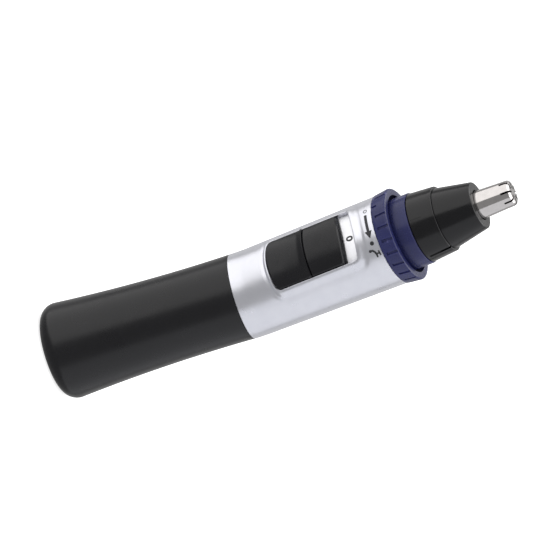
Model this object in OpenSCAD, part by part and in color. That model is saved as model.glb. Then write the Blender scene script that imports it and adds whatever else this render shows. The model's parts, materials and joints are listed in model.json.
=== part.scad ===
// Battery-powered nose hair trimmer: an upright grip whose head leans forward.
// Millimetres. The base stands on Z = 0, the grip's axis is Z and the switch faces -Y.
// Lengths named *_h run along the head's own axis, from where it crosses the grip's axis.

/* [Grip] */
// Length of the battery cover, from the base to its mouth
cover_length = 50.3; // [50:0.1:50.6]
// Radius of the cover at its waist
waist_r = 10.8; // [10.7:0.05:11]
// Rounding between the flat base and the side of the cover
base_round = 4; // [3.5:0.1:4]

/* [Housing] */
// Angle by which the head leans forward of the grip
bend_angle = 9; // [8:0.5:10]
// Radius of the housing at the cover's mouth
housing_rear_r = 10.92; // [10.9:0.01:11]
// Radius of the housing behind the cleaning ring
housing_front_r = 11.35; // [11.3:0.01:11.45]

/* [Switch] */
// Half the width of the switch window
window_half_w = 6.7; // [6.5:0.05:6.8]
// Distance that the switch button slides
switch_travel = 3; // [2.5:0.1:3]

/* [Cleaning ring] */
// Number of places round the flange, one of which holds the index tick
ring_places = 22; // [18:1:24]
// Angle that the ring turns through, from the circle mark to the dot mark
ring_turn = 45; // [40:1:48]

/* [Head] */
// Radius of the steel tube at its tip
tip_r = 3.25; // [3.2:0.01:3.3]
// Number of hair slits in the end of the tube
slit_count = 8; // [6:1:8]
// Width of one hair slit
slit_w = 0.5; // [0.4:0.05:0.5]

/* [Hidden] */
$fn = 96;

// Colours
soft_black = [0.07, 0.07, 0.08];
satin_silver = [0.80, 0.80, 0.82];
ring_blue = [0.20, 0.20, 0.42];
head_black = [0.05, 0.05, 0.06];
steel = [0.78, 0.77, 0.75];
bright_steel = [0.86, 0.85, 0.83];
brass = [0.80, 0.66, 0.35];
copper = [0.72, 0.42, 0.24];
rubber = [0.10, 0.10, 0.10];
inner_plastic = [0.24, 0.24, 0.26];
inset_white = [0.93, 0.93, 0.95];
cell_green = [0.16, 0.40, 0.26];

// Gaps: a turning fit, a loose fit, and the play round a piece that only drops in
run_gap = 0.08;
loose_gap = 0.1;
drop_gap = 0.05;

// Bend: the head's axis leaves the grip's axis on one arc
bend_radius = 35;
bend_h = bend_radius * tan(bend_angle / 2);
bend_step = 0.02;
bend_z = cover_length + bend_h;

// Cover: its side curves gently in to a waist
waist_arc = 468;
waist_z = 41;
side_steps = 16;
cover_floor = 2;
cover_bore_r = 9.2;
cover_mouth_r = 9.65;
cover_mouth_depth = 8.5;

// Spigot of the housing, which the cover slides over
spigot_r = 9.6;
spigot_bore_r = 8.5;
spigot_length = 8;
seal_z = cover_length - 3.6;
seal_groove_r = 9.0;
seal_wire_r = 0.32;

// Housing shell
housing_bore_r = 9.4;
bend_bore_r = 9.2;
shoulder = 1.5;
ring_h = 38.6;

// Switch window, its raised rim and the inset plate below it
window_rear_h = 9.4;
window_front_h = 33.1;
window_corner = 1.2;
window_rear_arch = 37;
window_front_arch = 23;
rim_w = 1.2;
rim_rise = 0.35;
inset_r = 10.15;
inset_wall = 0.8;
inset_margin = 0.8;
gasket_wall = 0.35;
stem_half_w = 1.7;
stem_rear_h = 17.5;
stem_front_h = 21.5;

// Switch button: two hollows with a ridge between them
button_r = 11.95;
button_base_r = 10.3;
button_front_h = 30;
hollow_arc = 26;
hollow_depth = 0.5;

// Standard AA cell in its cradle
cell_r = 7.25;
cell_length = 49.5;
cell_nub_r = 2.75;
cell_nub = 1;
cell_z = 5.4;
cradle_bore_r = 7.45;
cradle_r = 8.35;
cradle_z = 2.4;
cradle_top_z = 56.9;
strip_w = 3;
strip_wall = 0.3;

// Motor: a round can with two flats
motor_r = 7.75;
motor_flat = 5.8;
motor_rear_h = 13;
motor_front_h = 33;
can_wall = 0.6;
shaft_r = 0.75;
bush_r = 1.6;
holder_r = 9.3;
holder_top_h = 35.6;
motor_screw_y = 4.4;
motor_screw_r = 0.6;
terminal_x = 4.6;
switch_floor = 6.4;

// Head mount: bulkhead and neck
bulkhead_h = 36;
neck_r = 8;
neck_bore_r = 7;
neck_top_h = 46.2;
mount_screw_x = 5;
mount_screw_r = 0.8;
mount_screw_head_r = 1.45;
mount_screw_sink = 0.9;
ring_seal_hs = [39.6, 43.5];
detent_place = 8.7;

// Cleaning ring: knurled flange, groove and smooth collar
flange_rear_r = 11.45;
flange_r = 11.9;
flange_front_h = 42.6;
flange_round = 0.4;
collar_r = 9.1;
collar_front_h = 46.6;
ring_groove_r = 10;
ring_groove_h = 40.4;
ring_counterbore_h = 44.8;
ring_counterbore_r = 8.5;
port_h = 41.5;
port_r = 0.9;
port_count = 4;
index_angle = -23;
port_angle = index_angle + 22.5;
tick_w = 0.6;
tick_depth = 0.25;

// Blade block
base_rear_h = 46.75;
base_rear_r = 8.85;
base_front_r = 8.33;
step_h = 53.2;
cone_rear_r = 7.8;
cone_front_r = 5.95;
cone_front_h = 62.5;
cone_chamfer = 0.35;
block_spigot_r = neck_bore_r - drop_gap;
block_spigot_h = 43;
cone_spigot_r = 6.95;
cone_spigot_h = 50.2;
tube_hole_r = 4.05;
tube_base_r = 3.85;
tube_wall = 0.35;
tube_end_h = 71.5;
tube_round = 0.8;
flange_seat_h = 57.9;
blade_flange_r = 4.9;
blade_flange = 0.7;
slit_length = 2.3;
slit_hub_r = 1.1;
slit_angle = 18;
catch_angle = 84;
catch_rear_h = 47.6;
closed_line_angle = 11;
drain_count = 6;
drain_r = 0.9;
drain_place = 4.4;

// Drive line
coupling_h = 46.2;
coupling_slot_h = 44;
coupling_slot_w = 1.3;
coupling_r = 2.6;
coupling_neck_r = 1.3;
blade_shaft_r = 1.1;
tang_half_w = 2.2;
tang_w = 1.1;
cutter_r = 2.75;
cutter_rear_h = 62;
cutter_front_h = 70.9;

// ---- helpers ----

// Places children on the head's own axis.
module in_head() {
    translate([0, 0, bend_z]) rotate([bend_angle, 0, 0]) children();
}

module disc(r, low, high) {
    translate([0, 0, low]) cylinder(r = r, h = high - low);
}

module taper(r_low, r_high, low, high) {
    translate([0, 0, low]) cylinder(r1 = r_low, r2 = r_high, h = high - low);
}

module tube(r_out, r_in, low, high) {
    difference() {
        disc(r_out, low, high);
        disc(r_in, low - 1, high + 1);
    }
}

module toroid(r, wire_r, height) {
    translate([0, 0, height]) rotate_extrude() translate([r, 0]) circle(r = wire_r, $fn = 32);
}

// Block with its X range centred on zero.
module block(half_x, y_low, y_high, z_low, z_high) {
    translate([-half_x, y_low, z_low]) cube([2 * half_x, y_high - y_low, z_high - z_low]);
}

module around(count, start = 0) {
    for (i = [0 : count - 1]) rotate([0, 0, start + i * 360 / count]) children();
}

// Torus segment that follows the bend, for the shell and its bore.
module bend_segment(r) {
    translate([0, -bend_radius, cover_length]) rotate([90, 0, 90])
        rotate_extrude(angle = bend_angle) translate([bend_radius, 0]) circle(r = r);
}

module rounded_outline(half_w, low, high, corner) {
    translate([-half_w + corner, low]) square([2 * (half_w - corner), high - low]);
    translate([-half_w, low + corner]) square([2 * half_w, high - low - 2 * corner]);
    for (x = [-1, 1]) {
        translate([x * (half_w - corner), low + corner]) circle(r = corner, $fn = 32);
        translate([x * (half_w - corner), high - corner]) circle(r = corner, $fn = 32);
    }
}

// Window outline: a rounded rectangle whose two ends are arched outwards.
module window_outline(half_w, low, high, corner) {
    intersection() {
        rounded_outline(half_w, low, high, corner);
        translate([0, low + window_rear_arch]) circle(r = window_rear_arch, $fn = 180);
        translate([0, high - window_front_arch]) circle(r = window_front_arch, $fn = 180);
    }
}

// Prism that runs forwards (-Y) from the head's axis, with the window's outline.
module window_prism(margin, corner, low = window_rear_h, high = window_front_h) {
    rotate([90, 0, 0]) linear_extrude(height = 14)
        window_outline(window_half_w + margin, low - margin, high + margin, corner);
}

// Plate between two radii, cut to the window's outline with a margin.
module curved_plate(r_out, r_in, margin) {
    intersection() {
        tube(r_out, r_in, window_rear_h - 3, window_front_h + 3);
        window_prism(margin, window_corner);
    }
}

// Points of a helix of one wire, and the skin round them.
function helix_point(a, r_low, r_high, low, high, turns) =
    let (f = a / (360 * turns)) [
        (r_low + (r_high - r_low) * f) * cos(a),
        (r_low + (r_high - r_low) * f) * sin(a),
        low + (high - low) * f
    ];

module coil(r_low, r_high, low, high, turns, wire_r) {
    sides = 6;
    steps = 14 * turns;
    centres = [for (i = [0 : steps]) helix_point(i * 360 * turns / steps, r_low, r_high, low, high, turns)];
    points = [
        for (i = [0 : steps]) let (a = i * 360 * turns / steps)
            for (k = [0 : sides - 1]) let (b = k * 360 / sides)
                centres[i] + wire_r * [cos(b) * cos(a), cos(b) * sin(a), sin(b)]
    ];
    skin = [
        for (i = [0 : steps - 1]) for (k = [0 : sides - 1]) let (n = (k + 1) % sides)
            for (t = [[0, 1, 2], [0, 2, 3]])
                let (q = [i * sides + k, (i + 1) * sides + k, (i + 1) * sides + n, i * sides + n])
                    [q[t[0]], q[t[1]], q[t[2]]]
    ];
    caps = [
        [for (k = [0 : sides - 1]) k],
        [for (k = [sides - 1 : -1 : 0]) steps * sides + k]
    ];
    polyhedron(points = points, faces = concat(skin, caps));
}

// Round can with two flats, front and back.
module flatted(r, flat, low, high) {
    intersection() {
        disc(r, low, high);
        block(r + 1, -flat, flat, low - 1, high + 1);
    }
}

// ---- battery cover ----

// Radius of the cover's side, a shallow parabola with its vertex at the waist.
function side_r(z) = waist_r + (z - waist_z) * (z - waist_z) / (2 * waist_arc);

module cover_outline() {
    base_r = side_r(base_round);
    side = [for (i = [0 : side_steps]) let (z = base_round + i * (cover_length - base_round) / side_steps)
        [side_r(z), z]];
    polygon(concat([[0, base_round]], side, [[0, cover_length]]));
    square([base_r - base_round, base_round + 1]);
    intersection() {
        translate([base_r - base_round, base_round]) circle(r = base_round);
        square([20, base_round]);
    }
}

module battery_cover() {
    color(soft_black) difference() {
        rotate_extrude() cover_outline();
        disc(cover_bore_r, cover_floor, cover_length + 1);
        disc(cover_mouth_r, cover_length - cover_mouth_depth, cover_length + 1);
    }
}

// ---- housing and battery compartment ----

module main_housing() {
    color(satin_silver) difference() {
        union() {
            bend_segment(housing_rear_r - bend_step);
            disc(spigot_r, cover_length - spigot_length, cover_length + 1);
            in_head() {
                taper(housing_rear_r, housing_front_r, bend_h - 0.3, ring_h);
                intersection() {
                    taper(housing_rear_r + rim_rise, housing_front_r + rim_rise, bend_h, ring_h);
                    window_prism(rim_w, window_corner + rim_w);
                }
            }
        }
        difference() {
            bend_segment(bend_bore_r);
            disc(housing_rear_r + 1, cover_length - 1, cover_length + shoulder);
        }
        disc(spigot_bore_r, cover_length - spigot_length - 1, cover_length + shoulder + 1);
        tube(spigot_r + 1, seal_groove_r, seal_z - 0.4, seal_z + 0.4);
        in_head() {
            disc(housing_bore_r, bend_h - 0.3, ring_h + 1);
            curved_plate(inset_r + drop_gap, housing_bore_r - 1, inset_margin + drop_gap);
            window_prism(0, window_corner);
        }
    }
}

module cover_seal() {
    color(rubber) toroid(seal_groove_r + seal_wire_r, seal_wire_r, seal_z);
}

// Open-fronted tube that holds the cell, with a floor for the spring.
module battery_cradle() {
    color(inner_plastic) difference() {
        disc(cradle_r, cradle_z, cradle_top_z);
        disc(cradle_bore_r, cradle_z + 1, cradle_top_z - 1.2);
        disc(4.5, cradle_top_z - 2, cradle_top_z + 1);
        block(1 + drop_gap, 3, 6.5 + strip_wall + drop_gap, cradle_top_z - 2, cradle_top_z + 1);
        block(cradle_r, -cradle_r - 1, -2.5, cell_z + 1, cover_length - spigot_length);
        block(strip_w / 2 + drop_gap, cradle_r - strip_wall - drop_gap, cradle_r + 1,
              cradle_z - 1, cradle_top_z + 1);
    }
}

module battery_cell() {
    color(cell_green) tube(cell_r, cell_r - 0.25, cell_z + 1, cell_z + cell_length - 1);
}

module battery_cap() {
    color(steel) {
        disc(cell_r - 0.25, cell_z + 0.1, cell_z + cell_length);
        disc(cell_nub_r, cell_z + cell_length, cell_z + cell_length + cell_nub);
    }
}

module positive_contact() {
    nub_top = cell_z + cell_length + cell_nub;
    color(brass) {
        disc(3.4, nub_top, nub_top + strip_wall);
        block(1, 3, 6.5, nub_top, nub_top + strip_wall);
        block(1, 6.5, 6.5 + strip_wall, nub_top, nub_top + 4);
    }
}

module negative_spring() {
    color(bright_steel) coil(4.2, 2.2, cradle_z + 1.3, cell_z - 0.25, 3, 0.3);
}

// Strip up the back of the cradle, with a foot under the spring.
module negative_strip() {
    color(brass) {
        block(strip_w / 2, cradle_r - strip_wall, cradle_r, cradle_z - strip_wall, cradle_top_z + 1.5);
        block(strip_w / 2, -1, cradle_r, cradle_z - strip_wall, cradle_z);
    }
}

// ---- switch, fixed pieces ----

module switch_inset() {
    color(inset_white) in_head() difference() {
        curved_plate(inset_r, inset_r - inset_wall, inset_margin);
        block(stem_half_w + 0.3, -14, -5, stem_rear_h - 0.4, stem_front_h + switch_travel + 0.4);
    }
}

module switch_gasket() {
    color(rubber) in_head() difference() {
        curved_plate(inset_r - inset_wall - 0.05, inset_r - inset_wall - 0.05 - gasket_wall,
                     inset_margin - 0.3);
        block(stem_half_w + 0.3, -14, -5, stem_rear_h - 0.4, stem_front_h + switch_travel + 0.4);
    }
}

module supply_contact() {
    color(brass) in_head() block(2.4, -switch_floor - 0.25, -switch_floor, 11.8, 17);
}

module motor_contact() {
    color(brass) in_head() block(2.4, -switch_floor - 0.25, -switch_floor, 20.5, 27);
}

module detent_leaf() {
    color(bright_steel) in_head() translate([4.3, -switch_floor - 1.3, 15]) cube([0.2, 1.3, 11]);
}

// ---- motor ----

module motor_holder() {
    color(inner_plastic) in_head() difference() {
        disc(holder_r, 11, holder_top_h);
        flatted(motor_r + drop_gap, motor_flat + drop_gap, 10, motor_front_h + drop_gap);
        disc(3.2, motor_front_h - 1, holder_top_h + 1);
        block(5, -12, -switch_floor, 10, 29);
        curved_plate(holder_r + 1, 8.9, inset_margin + 0.4);
        for (x = [-1, 1]) {
            translate([x * mount_screw_x, 0, 0]) disc(mount_screw_r, motor_front_h, holder_top_h + 1);
            translate([0, x * motor_screw_y, 0]) disc(0.65, motor_front_h - 1, holder_top_h + 1);
            translate([0, x * motor_screw_y, 0]) disc(1.2, holder_top_h - 0.7, holder_top_h + 1);
        }
    }
}

module motor_can() {
    color(steel) in_head() difference() {
        union() {
            flatted(motor_r, motor_flat, motor_rear_h, motor_front_h);
            disc(3, motor_front_h, motor_front_h + 1.2);
        }
        flatted(motor_r - can_wall, motor_flat - can_wall, motor_rear_h - 1, motor_front_h - can_wall);
        disc(bush_r, motor_front_h - 2, motor_front_h + 2);
        for (y = [-1, 1]) translate([0, y * motor_screw_y, 0])
            disc(motor_screw_r, motor_front_h - 2, motor_front_h + 1);
    }
}

module motor_magnets() {
    color([0.20, 0.20, 0.21]) in_head() intersection() {
        tube(motor_r - can_wall, 5, motor_rear_h + 3, motor_front_h - 2);
        for (x = [-1, 1]) translate([x * 8, 0, 22]) cube([9, 9, 30], center = true);
    }
}

module motor_end_cap() {
    color(inset_white) in_head() difference() {
        union() {
            flatted(motor_r - can_wall, motor_flat - can_wall, motor_rear_h - 1, motor_rear_h + 0.8);
            flatted(motor_r, motor_flat, motor_rear_h - 1, motor_rear_h);
            disc(2.6, motor_rear_h - 2, motor_rear_h);
        }
        disc(bush_r, motor_rear_h - 3, motor_rear_h + 2);
        for (x = [-1, 1]) translate([x * terminal_x, 0, motor_rear_h]) cube([0.5, 2.2, 6], center = true);
    }
}

module motor_bushes() {
    color(brass) in_head() {
        tube(bush_r, shaft_r + 0.04, motor_rear_h - 1.6, motor_rear_h + 0.6);
        tube(bush_r, shaft_r + 0.04, motor_front_h - 1, motor_front_h + 1.1);
    }
}

module motor_brushes() {
    color(copper) in_head() for (x = [-1, 1])
        translate([x * 2.5, 0, motor_rear_h + 2]) cube([0.9, 1.4, 2.4], center = true);
}

module motor_terminals() {
    color(brass) in_head() for (x = [-1, 1])
        translate([x * terminal_x, 0, motor_rear_h - 1.1]) cube([0.4, 2, 4], center = true);
}

module motor_screws() {
    color(bright_steel) in_head() for (y = [-1, 1]) translate([0, y * motor_screw_y, 0]) {
        disc(motor_screw_r, motor_front_h - can_wall, holder_top_h - 0.7);
        disc(1.15, holder_top_h - 0.7, holder_top_h - 0.1);
    }
}

// ---- head mount and its seals ----

module head_mount() {
    color(inner_plastic) in_head() difference() {
        union() {
            disc(housing_bore_r - drop_gap, bulkhead_h, ring_h);
            disc(neck_r, bulkhead_h, neck_top_h);
        }
        disc(neck_bore_r, ring_h, neck_top_h + 1);
        disc(1.7, bulkhead_h - 1, ring_h + 1);
        disc(3, ring_h - 1.4, ring_h + 1);
        for (x = [-1, 1]) translate([x * mount_screw_x, 0, 0]) {
            disc(mount_screw_r, bulkhead_h - 1, ring_h + 1);
            disc(mount_screw_head_r + drop_gap, ring_h - mount_screw_sink, ring_h + 1);
        }
        for (seal = ring_seal_hs) tube(neck_r + 1, neck_r - 0.5, seal - 0.35, seal + 0.35);
        tube(neck_r + 1, neck_r - 0.4, ring_counterbore_h + 0.05, ring_counterbore_h + 0.75);
        around(port_count, port_angle) translate([0, 0, port_h]) rotate([0, 90, 0])
            cylinder(r = port_r, h = neck_r + 1);
        rotate([0, 0, 90]) translate([detent_place, 0, 0]) disc(0.6, ring_h - 1.9, ring_h + 1);
    }
}

module head_mount_screws() {
    color(bright_steel) in_head() for (x = [-1, 1]) translate([x * mount_screw_x, 0, 0]) {
        disc(mount_screw_r, motor_front_h + 0.4, ring_h - mount_screw_sink);
        difference() {
            disc(mount_screw_head_r, ring_h - mount_screw_sink, ring_h - 0.1);
            for (a = [0, 90]) rotate([0, 0, a]) block(0.2, -1, 1, ring_h - 0.5, ring_h + 1);
        }
    }
}

module shaft_seal() {
    color(rubber) in_head() difference() {
        disc(3, ring_h - 1.4, ring_h);
        disc(coupling_neck_r + 0.03, ring_h - 2, ring_h + 1);
        taper(1.6, 2.4, ring_h - 0.6, ring_h + 0.01);
    }
}

module ring_seals() {
    color(rubber) in_head() for (seal = ring_seal_hs) toroid(neck_r - 0.22, 0.27, seal);
}

// Split spring ring that keeps the cleaning ring on the neck.
module ring_retainer() {
    color(bright_steel) in_head() difference() {
        tube(neck_r + 0.38, neck_r - 0.38, ring_counterbore_h + 0.1, ring_counterbore_h + 0.7);
        block(0.8, 0, 12, ring_counterbore_h - 1, ring_counterbore_h + 2);
    }
}

module ring_detent_ball() {
    color(bright_steel) in_head() translate([0, detent_place, ring_h - 0.6]) sphere(r = 0.55, $fn = 32);
}

module ring_detent_spring() {
    color(bright_steel) in_head() translate([0, detent_place, 0])
        coil(0.38, 0.38, ring_h - 1.75, ring_h - 1.3, 2, 0.1);
}

// ---- switch, sliding pieces ----

module button_profile() {
    difference() {
        translate([button_base_r, window_rear_h]) square([button_r - button_base_r, 22]);
        for (at = [0.25, 0.75])
            translate([button_r + hollow_arc - hollow_depth,
                       window_rear_h + at * (button_front_h - window_rear_h)])
                circle(r = hollow_arc, $fn = 360);
    }
}

module switch_button() {
    color(soft_black) in_head() {
        intersection() {
            rotate_extrude() button_profile();
            window_prism(-0.15, window_corner, window_rear_h, button_front_h + 0.15);
        }
        block(stem_half_w, -button_base_r - 0.2, -7.2, stem_rear_h, stem_front_h);
    }
}

module switch_carrier() {
    color(inner_plastic) in_head() difference() {
        block(3.2, -8.2, -7.2, 14.5, 24.5);
        block(stem_half_w + 0.02, -9, -7, stem_rear_h - 0.02, stem_front_h + 0.02);
    }
}

module moving_contact() {
    color(copper) in_head() {
        block(2.2, -7.2, -6.95, 15, 24);
        for (at = [15.5, 22.5]) translate([0, 0, at]) block(2.2, -6.95, -6.75, 0, 1);
    }
}

// ---- cleaning ring ----

module ring_outline() {
    corner_r = flange_r - flange_round;
    corner_h = flange_front_h - flange_round;
    difference() {
        union() {
            polygon([
                [neck_r + run_gap, ring_h + loose_gap], [flange_rear_r, ring_h + loose_gap],
                [flange_r, corner_h], [corner_r, corner_h], [corner_r, flange_front_h],
                [neck_r + run_gap, flange_front_h]
            ]);
            translate([corner_r, corner_h]) circle(r = flange_round, $fn = 32);
            translate([neck_r + run_gap, ring_h + loose_gap])
                square([collar_r - neck_r - run_gap, collar_front_h - ring_h - loose_gap]);
        }
        translate([collar_r, ring_groove_h]) square([ring_groove_r - collar_r, 5]);
        translate([neck_r, ring_counterbore_h]) square([ring_counterbore_r - neck_r, 5]);
    }
}

// One knurl groove, cut along the flange and out through its front edge.
module knurl(low, high) {
    translate([0, -flange_r, 0]) block(tick_w / 2, -tick_depth - 0.3, tick_depth + 0.1, low, high);
}

module cleaning_ring() {
    place = 360 / ring_places;
    color(ring_blue) in_head() difference() {
        rotate_extrude() ring_outline();
        for (i = [1 : ring_places - 1])
            rotate([0, 0, index_angle + i * place]) knurl(ring_h + 1, flange_front_h - 0.3);
        rotate([0, 0, index_angle]) knurl(ring_h + 0.05, ring_h + 1.5);
        around(port_count, port_angle + ring_turn) translate([0, 0, port_h]) rotate([0, 90, 0])
            cylinder(r = port_r, h = collar_r + 0.5);
    }
}

// ---- rotor and drive line ----

module motor_shaft() {
    color(bright_steel) in_head() disc(shaft_r, motor_rear_h - 2.2, 42);
}

module rotor_core() {
    color(steel) in_head() difference() {
        tube(4.5, shaft_r, 18, 28);
        around(3) translate([0, 2.6, 17]) block(0.45, 0, 3, 0, 12);
        around(3) translate([0, 2.6, 17]) block(1.3, -0.6, 1, 0, 12);
    }
}

module rotor_windings() {
    color(copper) in_head() around(3, 60) {
        for (end = [17, 28]) translate([-1.6, 1.3, end]) cube([3.2, 2.4, 1]);
    }
}

module commutator() {
    color(copper) in_head() difference() {
        tube(2, shaft_r, 14.2, 16.6);
        around(3, 30) block(0.1, 1.6, 3, 14, 17);
    }
}

module drive_coupling() {
    color(inset_white) in_head() difference() {
        union() {
            disc(coupling_neck_r, holder_top_h + 0.3, 40);
            taper(coupling_neck_r, coupling_r, 39, 40.3);
            disc(coupling_r, 40.3, coupling_h);
        }
        disc(shaft_r, holder_top_h - 1, 42);
        block(coupling_slot_w / 2, -coupling_r - 1, coupling_r + 1, coupling_slot_h, coupling_h + 1);
    }
}

// ---- blade block ----

module head_base() {
    color(head_black) in_head() difference() {
        union() {
            disc(block_spigot_r, block_spigot_h, base_rear_h + 1);
            taper(base_rear_r, base_front_r, base_rear_h, step_h);
        }
        disc(6.2, block_spigot_h - 1, 48.4);
        disc(2.5, 48, 51);
        disc(cone_spigot_r + drop_gap, cone_spigot_h, step_h + 1);
        around(drain_count) translate([drain_place, 0, 0]) disc(drain_r, 48, 51);
        // catch groove beside the right side, and the fine line that marks the closed place
        rotate([0, 0, catch_angle]) translate([0, -base_rear_r, 0])
            block(0.35, -0.5, 0.75, catch_rear_h, step_h + 1);
        rotate([0, 0, closed_line_angle]) translate([0, -base_rear_r, 0]) block(0.08, -0.5, 0.18, 47.2, 49.9);
    }
}

module nose_cone() {
    color(head_black) in_head() difference() {
        union() {
            disc(cone_spigot_r, cone_spigot_h + 0.02, step_h);
            taper(cone_rear_r, cone_front_r, step_h, cone_front_h - cone_chamfer);
            taper(cone_front_r, cone_front_r - cone_chamfer, cone_front_h - cone_chamfer, cone_front_h);
        }
        disc(5.6, cone_spigot_h - 1, 55);
        disc(blade_flange_r + 0.15, 54, flange_seat_h);
        disc(tube_hole_r, 54, cone_front_h + 1);
    }
}

module shaft_bearing() {
    color(brass) in_head() {
        tube(2.5, blade_shaft_r + drop_gap, 48.4, 50.2);
        tube(3.2, blade_shaft_r + drop_gap, 50.2, 50.7);
    }
}

module blade_retainer() {
    color(inset_white) in_head() difference() {
        tube(blade_flange_r + 0.1, 4.1, 55, flange_seat_h - blade_flange);
        around(4, 45) block(0.5, 3.5, 6, 54, 56);
    }
}

// Steel tube with a closed, rounded end, and a flange at its base.
module outer_blade() {
    base_h = flange_seat_h - blade_flange;
    round_h = tube_end_h - tube_round;
    color(bright_steel) in_head() difference() {
        union() {
            disc(blade_flange_r, base_h, flange_seat_h);
            taper(tube_base_r, tip_r, base_h, round_h);
            rotate_extrude() intersection() {
                union() {
                    square([tip_r - tube_round, tube_end_h]);
                    translate([tip_r - tube_round, round_h]) circle(r = tube_round, $fn = 48);
                }
                translate([0, round_h]) square([tip_r, tube_round]);
            }
        }
        taper(tube_base_r - tube_wall, tip_r - tube_wall, base_h - 0.01, round_h);
        disc(tip_r - tube_wall, round_h - 0.01, tube_end_h - tube_wall);
        around(slit_count, slit_angle)
            block(slit_w / 2, -tip_r - 1, -slit_hub_r, tube_end_h - slit_length, tube_end_h + 1);
    }
}

module inner_blade() {
    color(steel) in_head() difference() {
        union() {
            disc(1.9, cutter_rear_h, cutter_front_h - 2);
            for (a = [0, 60, 120]) rotate([0, 0, a])
                block(0.3, -cutter_r, cutter_r, cutter_rear_h + 2.5, cutter_front_h);
        }
        disc(blade_shaft_r, cutter_rear_h - 1, cutter_front_h - 3);
    }
}

module blade_shaft() {
    color(inset_white) in_head() {
        disc(blade_shaft_r, coupling_h + 0.2, cutter_front_h - 3);
        block(tang_w / 2, -tang_half_w, tang_half_w, coupling_slot_h + 0.2, coupling_h + 0.3);
        disc(1.8, 60.6, cutter_rear_h);
    }
}

module blade_spring() {
    color(bright_steel) in_head() coil(1.6, 1.6, 51.2, 60.3, 6, 0.22);
}

battery_cover();
main_housing();
cover_seal();
battery_cradle();
battery_cell();
battery_cap();
positive_contact();
negative_spring();
negative_strip();
switch_inset();
switch_gasket();
supply_contact();
motor_contact();
detent_leaf();
motor_holder();
motor_can();
motor_magnets();
motor_end_cap();
motor_bushes();
motor_brushes();
motor_terminals();
motor_screws();
head_mount();
head_mount_screws();
shaft_seal();
ring_seals();
ring_retainer();
ring_detent_ball();
ring_detent_spring();
switch_button();
switch_carrier();
moving_contact();
cleaning_ring();
motor_shaft();
rotor_core();
rotor_windings();
commutator();
drive_coupling();
head_base();
nose_cone();
shaft_bearing();
blade_retainer();
outer_blade();
inner_blade();
blade_shaft();
blade_spring();
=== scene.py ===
"""Looks of the nose hair trimmer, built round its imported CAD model.

Lengths are in millimetres until a mesh is made, and angles are in degrees. Angles round the
object run from the front (the switch's side) towards +X. Heights named h run along the head's
own axis, from the point where it crosses the grip's axis.
"""

import json
import math

import bmesh
import bpy
from mathutils import Matrix, Vector


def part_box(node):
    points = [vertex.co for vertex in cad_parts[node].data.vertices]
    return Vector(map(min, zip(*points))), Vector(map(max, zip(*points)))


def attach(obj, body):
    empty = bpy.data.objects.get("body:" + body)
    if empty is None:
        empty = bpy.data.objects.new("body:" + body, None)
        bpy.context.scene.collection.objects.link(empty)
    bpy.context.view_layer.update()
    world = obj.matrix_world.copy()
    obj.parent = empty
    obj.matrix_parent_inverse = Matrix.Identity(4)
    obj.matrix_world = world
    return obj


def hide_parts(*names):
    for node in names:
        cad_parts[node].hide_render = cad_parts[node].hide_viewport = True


MM = 0.001
ON_AXIS = 1e-9

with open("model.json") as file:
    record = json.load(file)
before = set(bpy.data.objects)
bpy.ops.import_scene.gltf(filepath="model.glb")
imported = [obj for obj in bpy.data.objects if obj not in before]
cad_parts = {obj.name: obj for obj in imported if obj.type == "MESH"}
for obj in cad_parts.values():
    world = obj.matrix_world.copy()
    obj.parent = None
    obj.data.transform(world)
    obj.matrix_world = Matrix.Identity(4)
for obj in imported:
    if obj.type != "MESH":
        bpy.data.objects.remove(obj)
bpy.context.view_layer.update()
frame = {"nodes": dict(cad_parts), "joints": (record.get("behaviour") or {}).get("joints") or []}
nodes = frame["nodes"]
joints = {joint["name"]: joint for joint in frame["joints"]}


# ---- places, from the frame ----

side = Vector((1, 0, 0))
head_up = Vector(joints["ring_turn"]["axis"]).normalized()
head_front = side.cross(head_up)
head_origin = Vector(joints["ring_turn"]["pos_m"]) / MM
bend_angle = math.acos(head_up.z)
bend_radius = 35.0
bend_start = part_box("battery_cover")[1].z / MM
bend_length = bend_radius * bend_angle
bend_h = bend_radius * math.tan(bend_angle / 2)


def on_head(r, angle, h):
    """A point at radius r, angle and height h about the head's axis, in metres."""
    a = math.radians(angle)
    place = head_origin + head_up * h + side * (r * math.sin(a)) + head_front * (r * math.cos(a))
    return place * MM


def on_grip(r, angle, z):
    """A point at radius r, angle and height z about the grip's axis, in metres."""
    a = math.radians(angle)
    return Vector((r * math.sin(a), -r * math.cos(a), z)) * MM


def on_line(r, angle, s):
    """A point at radius r and angle about the bent centre line, s along it from the base."""
    past_bend = s - bend_start - bend_length
    if past_bend >= 0:
        return on_head(r, angle, bend_h + past_bend)
    if s <= bend_start:
        return on_grip(r, angle, s)
    a = math.radians(angle)
    turn = (s - bend_start) / bend_radius
    centre = Vector((0, bend_radius * (math.cos(turn) - 1), bend_start + bend_radius * math.sin(turn)))
    front = Vector((0, -math.cos(turn), -math.sin(turn)))
    return (centre + side * (r * math.sin(a)) + front * (r * math.cos(a))) * MM


def s_of_h(h):
    """Distance along the centre line at a height on the head's axis."""
    return bend_start + bend_length + h - bend_h


def head_span(node):
    """(lowest h, highest h, largest radius) of a CAD node about the head's axis."""
    rows = []
    for vertex in nodes[node].data.vertices:
        place = vertex.co / MM - head_origin
        h = place.dot(head_up)
        rows.append((h, (place - head_up * h).length))
    heights = [row[0] for row in rows]
    return min(heights), max(heights), max(row[1] for row in rows)


# ---- mesh building ----

def smooth_step(low, high, value):
    t = min(max((value - low) / (high - low), 0), 1)
    return t * t * (3 - 2 * t)


def spread(low, high, count):
    """count + 1 values from low to high, evenly spaced."""
    return [low + (high - low) * i / count for i in range(count + 1)]


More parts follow.
